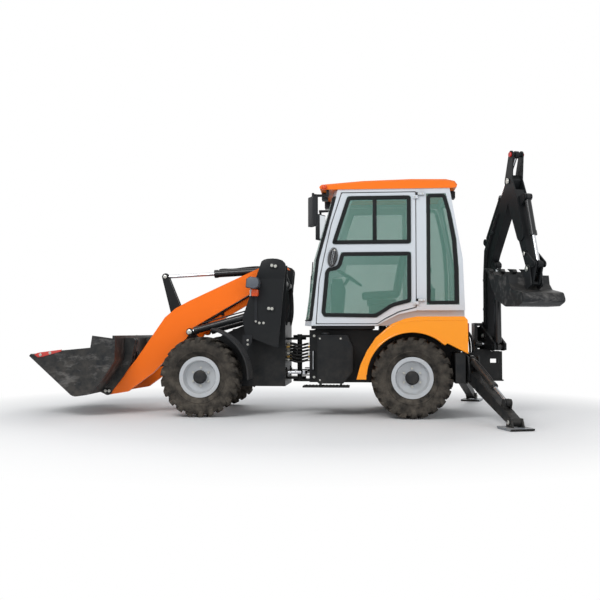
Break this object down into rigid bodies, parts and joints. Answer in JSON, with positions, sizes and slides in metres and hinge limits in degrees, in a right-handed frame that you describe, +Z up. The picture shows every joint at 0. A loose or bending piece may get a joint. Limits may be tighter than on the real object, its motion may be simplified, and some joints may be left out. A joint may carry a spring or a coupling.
{
  "type": "backhoe loader",
  "caption": "Compact backhoe loader with an articulated frame, a front loader bucket, an enclosed cab, a folded backhoe on a side-shift carriage and two stabilizer legs.",
  "frame": {"origin": "on the ground, at the middle of the machine's length and width", "axes": "+X to the rear (backhoe end), -X to the loader bucket, +Z up, -Y the machine's left side"},
  "size_m": [6.0389, 3.8642, 3.0299],
  "materials": {
    "orange": "gloss",
    "amber": "gloss",
    "black": "satin",
    "silver": "satin",
    "rim": "satin",
    "iron": "matte",
    "rod": "polished",
    "tyre": "matte",
    "glass": "clear",
    "black_plastic": "matte",
    "seat": "matte"
  },
  "bodies": {
    "rear_frame": {"rear_chassis": "black", "rear_axle": "iron", "engine_block": "iron", "side_tanks": "black", "rear_fenders": "amber", "cab_shell": "silver", "cab_glass": "glass", "cab_roof": "orange", "seat": "seat", "controls": "black_plastic", "cab_fittings": "black_plastic", "backhoe_frame": "black"},
    "front_frame": {"front_chassis": "black", "front_axle": "iron", "front_fenders": "black_plastic", "headlamps": "black_plastic"},
    "wheel_front_left": {"tyre_front_left": "tyre", "rim_front_left": "rim"},
    "wheel_front_right": {"tyre_front_right": "tyre", "rim_front_right": "rim"},
    "wheel_rear_left": {"tyre_rear_left": "tyre", "rim_rear_left": "rim"},
    "wheel_rear_right": {"tyre_rear_right": "tyre", "rim_rear_right": "rim"},
    "loader_arms": {"loader_arms": "orange"},
    "loader_bucket": {"loader_bucket": "black"},
    "rocker": {"rocker": "black"},
    "bucket_link": {"bucket_link": "black"},
    "tilt_barrel": {"tilt_barrel": "black"},
    "tilt_rod": {"tilt_rod": "rod"},
    "lift_barrels": {"lift_barrels": "black"},
    "lift_rods": {"lift_rods": "rod"},
    "steer_barrel_left": {"steer_barrel_left": "black"},
    "steer_rod_left": {"steer_rod_left": "rod"},
    "steer_barrel_right": {"steer_barrel_right": "black"},
    "steer_rod_right": {"steer_rod_right": "rod"},
    "door_left": {"door_left": "silver", "door_left_glass": "glass"},
    "door_right": {"door_right": "silver", "door_right_glass": "glass"},
    "carriage": {"carriage": "black"},
    "swing_post": {"swing_post": "black"},
    "boom": {"boom": "black"},
    "dipper": {"dipper": "black"},
    "dig_bucket": {"dig_bucket": "black"},
    "dig_rocker": {"dig_rocker": "black"},
    "dig_link": {"dig_link": "black"},
    "boom_barrel": {"boom_barrel": "black"},
    "boom_rod": {"boom_rod": "rod"},
    "dipper_barrel": {"dipper_barrel": "black"},
    "dipper_rod": {"dipper_rod": "rod"},
    "curl_barrel": {"curl_barrel": "black"},
    "curl_rod": {"curl_rod": "rod"},
    "leg_left": {"leg_left": "black"},
    "leg_right": {"leg_right": "black"},
    "leg_barrel_left": {"leg_barrel_left": "black"},
    "leg_rod_left": {"leg_rod_left": "rod"},
    "leg_barrel_right": {"leg_barrel_right": "black"},
    "leg_rod_right": {"leg_rod_right": "rod"}
  },
  "joints": [
    {"name": "spin_front_left", "type": "hinge", "parent": "front_frame", "child": "wheel_front_left", "pos_m": [-1.05, -0.725, 0.46], "axis": [0, 1, 0], "continuous": true},
    {"name": "spin_front_right", "type": "hinge", "parent": "front_frame", "child": "wheel_front_right", "pos_m": [-1.05, 0.725, 0.46], "axis": [0, 1, 0], "continuous": true},
    {"name": "spin_rear_left", "type": "hinge", "parent": "rear_frame", "child": "wheel_rear_left", "pos_m": [1.37, -0.725, 0.46], "axis": [0, 1, 0], "continuous": true},
    {"name": "spin_rear_right", "type": "hinge", "parent": "rear_frame", "child": "wheel_rear_right", "pos_m": [1.37, 0.725, 0.46], "axis": [0, 1, 0], "continuous": true},
    {"name": "articulation", "type": "hinge", "parent": "rear_frame", "child": "front_frame", "pos_m": [0.03, 0, 0], "axis": [0, 0, 1], "range_deg": [-32, 32]},
    {"name": "steer_swing_right", "type": "hinge", "parent": "front_frame", "child": "steer_barrel_right", "pos_m": [-0.52, 0.25, 0.49], "axis": [0, 0, 1], "range_deg": [-4.25, 4.25]},
    {"name": "steer_stroke_right", "type": "slide", "parent": "steer_barrel_right", "child": "steer_rod_right", "axis": [0.9999, 0.016, 0], "range_m": [-0.14332, 0.14332]},
    {"name": "steer_swing_left", "type": "hinge", "parent": "front_frame", "child": "steer_barrel_left", "pos_m": [-0.52, -0.25, 0.49], "axis": [0, 0, 1], "range_deg": [-4.25, 4.25]},
    {"name": "steer_stroke_left", "type": "slide", "parent": "steer_barrel_left", "child": "steer_rod_left", "axis": [0.9999, -0.016, 0], "range_m": [-0.14332, 0.14332]},
    {"name": "loader_lift", "type": "hinge", "parent": "front_frame", "child": "loader_arms", "pos_m": [-0.205, 0, 1.75], "axis": [0, 1, 0], "range_deg": [0, 65]},
    {"name": "lift_barrel_swing", "type": "hinge", "parent": "front_frame", "child": "lift_barrels", "pos_m": [-0.246, 0, 1.248], "axis": [0, 1, 0], "range_deg": [0, 61.68]},
    {"name": "lift_stroke", "type": "slide", "parent": "lift_barrels", "child": "lift_rods", "axis": [-0.9646, 0, -0.2638], "range_m": [0, 0.53677]},
    {"name": "bucket_tilt", "type": "hinge", "parent": "loader_arms", "child": "loader_bucket", "pos_m": [-2.24, 0, 0.272], "axis": [0, -1, 0], "range_deg": [0, 145]},
    {"name": "rocker_swing", "type": "hinge", "parent": "loader_arms", "child": "rocker", "pos_m": [-1.497, 0, 1.157], "axis": [0, -1, 0], "range_deg": [-70.9, 0]},
    {"name": "bucket_link_swing", "type": "hinge", "parent": "loader_bucket", "child": "bucket_link", "pos_m": [-2.0086, 0, 0.54778], "axis": [0, -1, 0], "range_deg": [-120.12, 0]},
    {"name": "tilt_barrel_swing", "type": "hinge", "parent": "loader_arms", "child": "tilt_barrel", "pos_m": [-0.205, 0, 1.75], "axis": [0, -1, 0], "range_deg": [0, 14.32]},
    {"name": "tilt_stroke", "type": "slide", "parent": "tilt_barrel", "child": "tilt_rod", "axis": [-0.9985, 0, -0.0539], "range_m": [-0.56415, 0]},
    {"name": "door_swing_left", "type": "hinge", "parent": "rear_frame", "child": "door_left", "pos_m": [1.447, -0.638, 0], "axis": [0, 0, 1], "range_deg": [0, 75]},
    {"name": "door_swing_right", "type": "hinge", "parent": "rear_frame", "child": "door_right", "pos_m": [1.447, 0.638, 0], "axis": [0, 0, -1], "range_deg": [0, 75]},
    {"name": "side_shift", "type": "slide", "parent": "rear_frame", "child": "carriage", "axis": [0, 1, 0], "range_m": [-0.35, 0.35]},
    {"name": "swing", "type": "hinge", "parent": "carriage", "child": "swing_post", "pos_m": [2.29, 0, 0], "axis": [0, 0, 1], "range_deg": [-20, 160]},
    {"name": "boom_lower", "type": "hinge", "parent": "swing_post", "child": "boom", "pos_m": [2.33104, -0.11276, 0.93], "axis": [0.9397, 0.342, 0], "range_deg": [0, 95]},
    {"name": "boom_barrel_swing", "type": "hinge", "parent": "swing_post", "child": "boom_barrel", "pos_m": [2.40287, -0.3101, 0.8], "axis": [0.9397, 0.342, 0], "range_deg": [0, 104.82]},
    {"name": "boom_stroke", "type": "slide", "parent": "boom_barrel", "child": "boom_rod", "axis": [-0.0043, 0.0117, 0.9999], "range_m": [-0.34846, 0]},
    {"name": "dipper_open", "type": "hinge", "parent": "boom", "child": "dipper", "pos_m": [2.53796, -0.68128, 2.69], "axis": [-0.9397, -0.342, 0], "range_deg": [0, 110]},
    {"name": "dipper_barrel_swing", "type": "hinge", "parent": "boom", "child": "dipper_barrel", "pos_m": [2.32762, -0.10337, 2.06], "axis": [-0.9397, -0.342, 0], "range_deg": [0, 8.67]},
    {"name": "dipper_stroke", "type": "slide", "parent": "dipper_barrel", "child": "dipper_rod", "axis": [0.2016, -0.5539, 0.8078], "range_m": [-0.48318, 0]},
    {"name": "dig_bucket_curl", "type": "hinge", "parent": "dipper", "child": "dig_bucket", "pos_m": [2.67306, -1.05246, 1.66], "axis": [-0.9397, -0.342, 0], "range_deg": [0, 120]},
    {"name": "dig_rocker_swing", "type": "hinge", "parent": "dipper", "child": "dig_rocker", "pos_m": [2.65421, -1.00066, 1.83165], "axis": [-0.9397, -0.342, 0], "range_deg": [0, 86.12]},
    {"name": "dig_link_swing", "type": "hinge", "parent": "dig_rocker", "child": "dig_link", "pos_m": [2.70829, -1.14924, 1.70917], "axis": [-0.9397, -0.342, 0], "range_deg": [-55.07, 0]},
    {"name": "curl_barrel_swing", "type": "hinge", "parent": "dipper", "child": "curl_barrel", "pos_m": [2.63544, -0.94909, 2.47], "axis": [-0.9397, -0.342, 0], "range_deg": [0, 6.54]},
    {"name": "curl_stroke", "type": "slide", "parent": "curl_barrel", "child": "curl_rod", "axis": [0.0922, -0.2533, -0.963], "range_m": [-0.26724, 0]},
    {"name": "stabilizer_left", "type": "hinge", "parent": "rear_frame", "child": "leg_left", "pos_m": [2.05, -0.78, 0.47], "axis": [-0.9563, -0.2924, 0], "range_deg": [0, 85]},
    {"name": "leg_barrel_swing_left", "type": "hinge", "parent": "rear_frame", "child": "leg_barrel_left", "pos_m": [2.04123, -0.75131, 0.67], "axis": [-0.9563, -0.2924, 0], "range_deg": [0, 89.21]},
    {"name": "leg_stroke_left", "type": "slide", "parent": "leg_barrel_left", "child": "leg_rod_left", "axis": [0.263, -0.8603, -0.4367], "range_m": [-0.27347, 0]},
    {"name": "stabilizer_right", "type": "hinge", "parent": "rear_frame", "child": "leg_right", "pos_m": [2.05, 0.78, 0.47], "axis": [0.9563, -0.2924, 0], "range_deg": [0, 85]},
    {"name": "leg_barrel_swing_right", "type": "hinge", "parent": "rear_frame", "child": "leg_barrel_right", "pos_m": [2.04123, 0.75131, 0.67], "axis": [0.9563, -0.2924, 0], "range_deg": [0, 89.21]},
    {"name": "leg_stroke_right", "type": "slide", "parent": "leg_barrel_right", "child": "leg_rod_right", "axis": [0.263, 0.8603, -0.4367], "range_m": [-0.27347, 0]}
  ],
  "couplings": [
    {"joint": "steer_swing_right", "follows": "articulation", "ratio": -0.10154},
    {"joint": "steer_stroke_right", "follows": "articulation", "m_per_rad": 0.24945},
    {"joint": "steer_swing_left", "follows": "articulation", "ratio": -0.10154},
    {"joint": "steer_stroke_left", "follows": "articulation", "m_per_rad": -0.24945},
    {"joint": "lift_barrel_swing", "follows": "loader_lift", "ratio": 0.93356},
    {"joint": "lift_stroke", "follows": "loader_lift", "m_per_rad": 0.46962},
    {"joint": "rocker_swing", "follows": "bucket_tilt", "ratio": -0.48204},
    {"joint": "bucket_link_swing", "follows": "bucket_tilt", "ratio": -0.82155},
    {"joint": "tilt_barrel_swing", "follows": "bucket_tilt", "ratio": 0.09189},
    {"joint": "tilt_stroke", "follows": "bucket_tilt", "m_per_rad": -0.22134},
    {"joint": "boom_barrel_swing", "follows": "boom_lower", "ratio": 1.0929},
    {"joint": "boom_stroke", "follows": "boom_lower", "m_per_rad": -0.20775},
    {"joint": "dipper_barrel_swing", "follows": "dipper_open", "ratio": 0.069695},
    {"joint": "dipper_stroke", "follows": "dipper_open", "m_per_rad": -0.24959},
    {"joint": "dig_rocker_swing", "follows": "dig_bucket_curl", "ratio": 0.70931},
    {"joint": "dig_link_swing", "follows": "dig_bucket_curl", "ratio": -0.45056},
    {"joint": "curl_barrel_swing", "follows": "dig_bucket_curl", "ratio": 0.046192},
    {"joint": "curl_stroke", "follows": "dig_bucket_curl", "m_per_rad": -0.12569},
    {"joint": "leg_barrel_swing_left", "follows": "stabilizer_left", "ratio": 1.0378},
    {"joint": "leg_stroke_left", "follows": "stabilizer_left", "m_per_rad": -0.18164},
    {"joint": "leg_barrel_swing_right", "follows": "stabilizer_right", "ratio": 1.0378},
    {"joint": "leg_stroke_right", "follows": "stabilizer_right", "m_per_rad": -0.18164}
  ]
}
